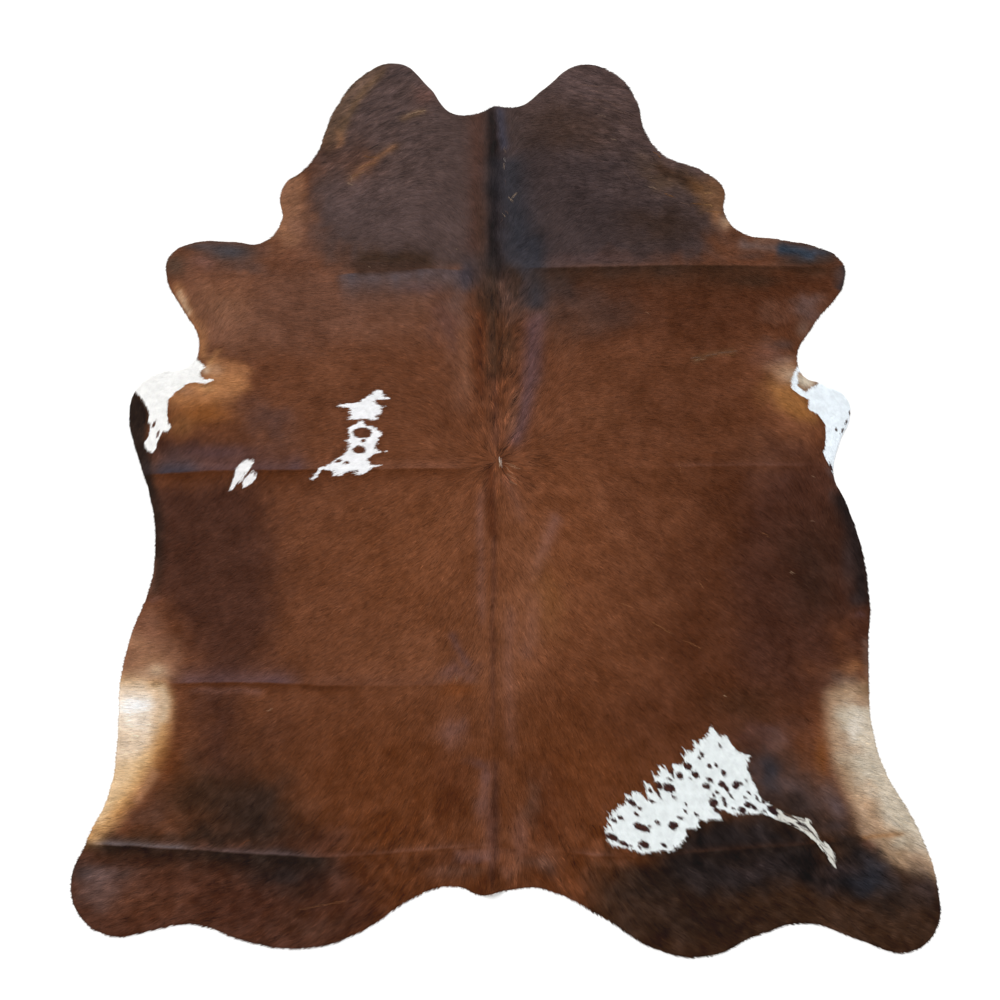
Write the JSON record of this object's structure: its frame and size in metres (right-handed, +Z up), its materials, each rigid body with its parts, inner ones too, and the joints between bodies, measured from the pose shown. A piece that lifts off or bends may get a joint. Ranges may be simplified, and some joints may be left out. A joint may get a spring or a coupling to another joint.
{
  "type": "cowhide rug",
  "caption": "Hair-on cowhide rug lying flat, with a wavy lobed hide outline, soft storage folds along and across, and a brown coat with white patches.",
  "frame": {"origin": "bottom centre of the hide's bounding box, on the floor plane under the rug", "axes": "+Z up, square to the floor; +Y from the tail towards the neck; +X towards the right half of the hide seen from above"},
  "size_m": [2.0036, 2.3726, 0.0137],
  "materials": {
    "hide": "short hair coat, reddish brown with darker shading, white spotted patches and cream flanks; tan flesh side under it"
  },
  "bodies": {
    "root": {"hide": "hide"}
  },
  "joints": []
}
